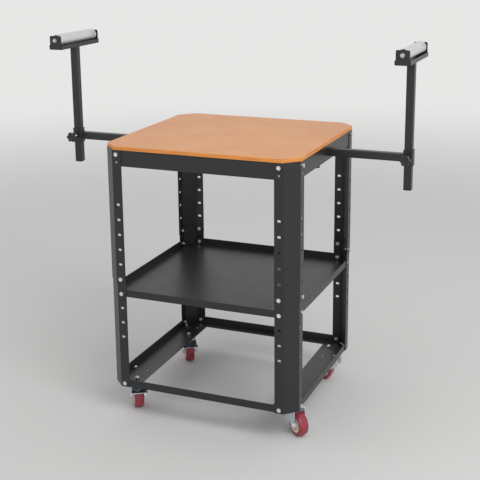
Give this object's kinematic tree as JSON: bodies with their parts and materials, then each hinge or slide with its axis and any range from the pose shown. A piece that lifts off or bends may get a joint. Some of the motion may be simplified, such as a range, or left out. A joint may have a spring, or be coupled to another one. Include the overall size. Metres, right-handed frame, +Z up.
{
  "type": "rolling work stand",
  "caption": "Rolling work stand: folded-steel frame with adjustable shelf, board top, swivel casters, and sliding side arms that carry height-adjustable support rollers.",
  "frame": {"origin": "on the floor, under the middle of the frame", "axes": "+Z up, +X to the right of someone facing the front, +Y to the back"},
  "size_m": [1.219, 0.6296, 1.2425],
  "materials": {
    "black_powder_coat": "semi-gloss black powder coat",
    "tabletop_board": "smooth sealed board with a bare edge",
    "zinc_fastener": "bright zinc plate",
    "zinc_caster": "pale blue zinc plate on pressed steel",
    "roller_metal": "satin tube",
    "black_plastic": "moulded, lightly textured",
    "cream_plastic": "moulded nylon",
    "red_polyurethane": "smooth cast tread"
  },
  "bodies": {
    "stand": {"upper_leg_front_left": "black_powder_coat", "lower_leg_front_left": "black_powder_coat", "upper_leg_back_left": "black_powder_coat", "lower_leg_back_left": "black_powder_coat", "upper_leg_front_right": "black_powder_coat", "lower_leg_front_right": "black_powder_coat", "upper_leg_back_right": "black_powder_coat", "lower_leg_back_right": "black_powder_coat", "apron_front": "black_powder_coat", "bottom_rail_front": "black_powder_coat", "apron_back": "black_powder_coat", "bottom_rail_back": "black_powder_coat", "apron_left": "black_powder_coat", "bottom_rail_left": "black_powder_coat", "apron_right": "black_powder_coat", "bottom_rail_right": "black_powder_coat", "shelf_tray": "black_powder_coat", "tabletop": "tabletop_board", "frame_bolts": "zinc_fastener", "frame_nuts": "zinc_fastener", "screws_and_rivets": "zinc_fastener", "arm_guide_sleeves": "black_powder_coat", "arm_guide_plates": "black_powder_coat", "caster_plates": "zinc_caster", "caster_bolts": "zinc_fastener", "caster_nuts": "zinc_fastener"},
    "left_arm_slider": {"left_arm": "black_powder_coat"},
    "left_post_slider": {"left_post": "black_powder_coat", "left_roller_trough": "black_powder_coat", "left_roller_axle": "zinc_fastener"},
    "left_roller_tube": {"left_roller": "roller_metal", "left_roller_bearings": "black_plastic"},
    "left_post_clamp": {"left_post_knob": "black_plastic"},
    "left_arm_clamp": {"left_arm_knob": "black_plastic"},
    "right_arm_slider": {"right_arm": "black_powder_coat"},
    "right_post_slider": {"right_post": "black_powder_coat", "right_roller_trough": "black_powder_coat", "right_roller_axle": "zinc_fastener"},
    "right_roller_tube": {"right_roller": "roller_metal", "right_roller_bearings": "black_plastic"},
    "right_post_clamp": {"right_post_knob": "black_plastic"},
    "right_arm_clamp": {"right_arm_knob": "black_plastic"},
    "caster_swivel_front_left": {"caster_fork_front_left": "zinc_caster", "caster_axle_front_left": "zinc_fastener"},
    "caster_wheel_front_left": {"caster_hub_front_left": "cream_plastic", "caster_tread_front_left": "red_polyurethane"},
    "brake_front_left": {"brake_pedal_front_left": "zinc_caster"},
    "caster_swivel_back_left": {"caster_fork_back_left": "zinc_caster", "caster_axle_back_left": "zinc_fastener"},
    "caster_wheel_back_left": {"caster_hub_back_left": "cream_plastic", "caster_tread_back_left": "red_polyurethane"},
    "brake_back_left": {"brake_pedal_back_left": "zinc_caster"},
    "caster_swivel_front_right": {"caster_fork_front_right": "zinc_caster", "caster_axle_front_right": "zinc_fastener"},
    "caster_wheel_front_right": {"caster_hub_front_right": "cream_plastic", "caster_tread_front_right": "red_polyurethane"},
    "caster_swivel_back_right": {"caster_fork_back_right": "zinc_caster", "caster_axle_back_right": "zinc_fastener"},
    "caster_wheel_back_right": {"caster_hub_back_right": "cream_plastic", "caster_tread_back_right": "red_polyurethane"}
  },
  "joints": [
    {"name": "left_arm_slide", "type": "slide", "parent": "stand", "child": "left_arm_slider", "axis": [-1, 0, 0], "range_m": [-0.205, 0.13]},
    {"name": "left_post_slide", "type": "slide", "parent": "left_arm_slider", "child": "left_post_slider", "axis": [0, 0, 1], "range_m": [-0.27, 0.06]},
    {"name": "left_roller_spin", "type": "hinge", "parent": "left_post_slider", "child": "left_roller_tube", "pos_m": [-0.585, -0.0135, 1.2235], "axis": [0, 1, 0], "continuous": true},
    {"name": "left_post_knob_turn", "type": "hinge", "parent": "left_arm_slider", "child": "left_post_clamp", "pos_m": [-0.585, -0.0635, 0.8825], "axis": [0, -1, 0], "range_deg": [0, 360]},
    {"name": "left_arm_knob_turn", "type": "hinge", "parent": "stand", "child": "left_arm_clamp", "pos_m": [-0.277, -0.0135, 0.84], "axis": [0, 0, -1], "range_deg": [0, 360]},
    {"name": "right_arm_slide", "type": "slide", "parent": "stand", "child": "right_arm_slider", "axis": [1, 0, 0], "range_m": [-0.205, 0.13]},
    {"name": "right_post_slide", "type": "slide", "parent": "right_arm_slider", "child": "right_post_slider", "axis": [0, 0, 1], "range_m": [-0.27, 0.06]},
    {"name": "right_roller_spin", "type": "hinge", "parent": "right_post_slider", "child": "right_roller_tube", "pos_m": [0.585, 0.0135, 1.2145], "axis": [0, 1, 0], "continuous": true},
    {"name": "right_post_knob_turn", "type": "hinge", "parent": "right_arm_slider", "child": "right_post_clamp", "pos_m": [0.585, -0.0365, 0.8825], "axis": [0, -1, 0], "range_deg": [0, 360]},
    {"name": "right_arm_knob_turn", "type": "hinge", "parent": "stand", "child": "right_arm_clamp", "pos_m": [0.277, 0.0135, 0.84], "axis": [0, 0, -1], "range_deg": [0, 360]},
    {"name": "caster_swivel_turn_front_left", "type": "hinge", "parent": "stand", "child": "caster_swivel_front_left", "pos_m": [-0.285, -0.206, 0.09], "axis": [0, 0, 1], "continuous": true},
    {"name": "caster_wheel_turn_front_left", "type": "hinge", "parent": "caster_swivel_front_left", "child": "caster_wheel_front_left", "pos_m": [-0.26665, -0.23221, 0.0375], "axis": [0.8192, 0.5736, 0], "continuous": true},
    {"name": "brake_pedal_press_front_left", "type": "hinge", "parent": "caster_swivel_front_left", "child": "brake_front_left", "pos_m": [-0.27697, -0.21747, 0.082], "axis": [0.8192, 0.5736, 0], "range_deg": [0, 8.5]},
    {"name": "caster_swivel_turn_back_left", "type": "hinge", "parent": "stand", "child": "caster_swivel_back_left", "pos_m": [-0.285, 0.206, 0.09], "axis": [0, 0, 1], "continuous": true},
    {"name": "caster_wheel_turn_back_left", "type": "hinge", "parent": "caster_swivel_back_left", "child": "caster_wheel_back_left", "pos_m": [-0.26757, 0.17916, 0.0375], "axis": [0.8387, 0.5446, 0], "continuous": true},
    {"name": "brake_pedal_press_back_left", "type": "hinge", "parent": "caster_swivel_back_left", "child": "brake_back_left", "pos_m": [-0.27737, 0.19426, 0.082], "axis": [0.8387, 0.5446, 0], "range_deg": [0, 8.5]},
    {"name": "caster_swivel_turn_front_right", "type": "hinge", "parent": "stand", "child": "caster_swivel_front_right", "pos_m": [0.285, -0.206, 0.09], "axis": [0, 0, 1], "continuous": true},
    {"name": "caster_wheel_turn_front_right", "type": "hinge", "parent": "caster_swivel_front_right", "child": "caster_wheel_front_right", "pos_m": [0.30951, -0.22657, 0.0375], "axis": [0.6428, 0.766, 0], "continuous": true},
    {"name": "caster_swivel_turn_back_right", "type": "hinge", "parent": "stand", "child": "caster_swivel_back_right", "pos_m": [0.285, 0.206, 0.09], "axis": [0, 0, 1], "continuous": true},
    {"name": "caster_wheel_turn_back_right", "type": "hinge", "parent": "caster_swivel_back_right", "child": "caster_wheel_back_right", "pos_m": [0.25312, 0.20879, 0.0375], "axis": [-0.0872, -0.9962, 0], "continuous": true}
  ]
}
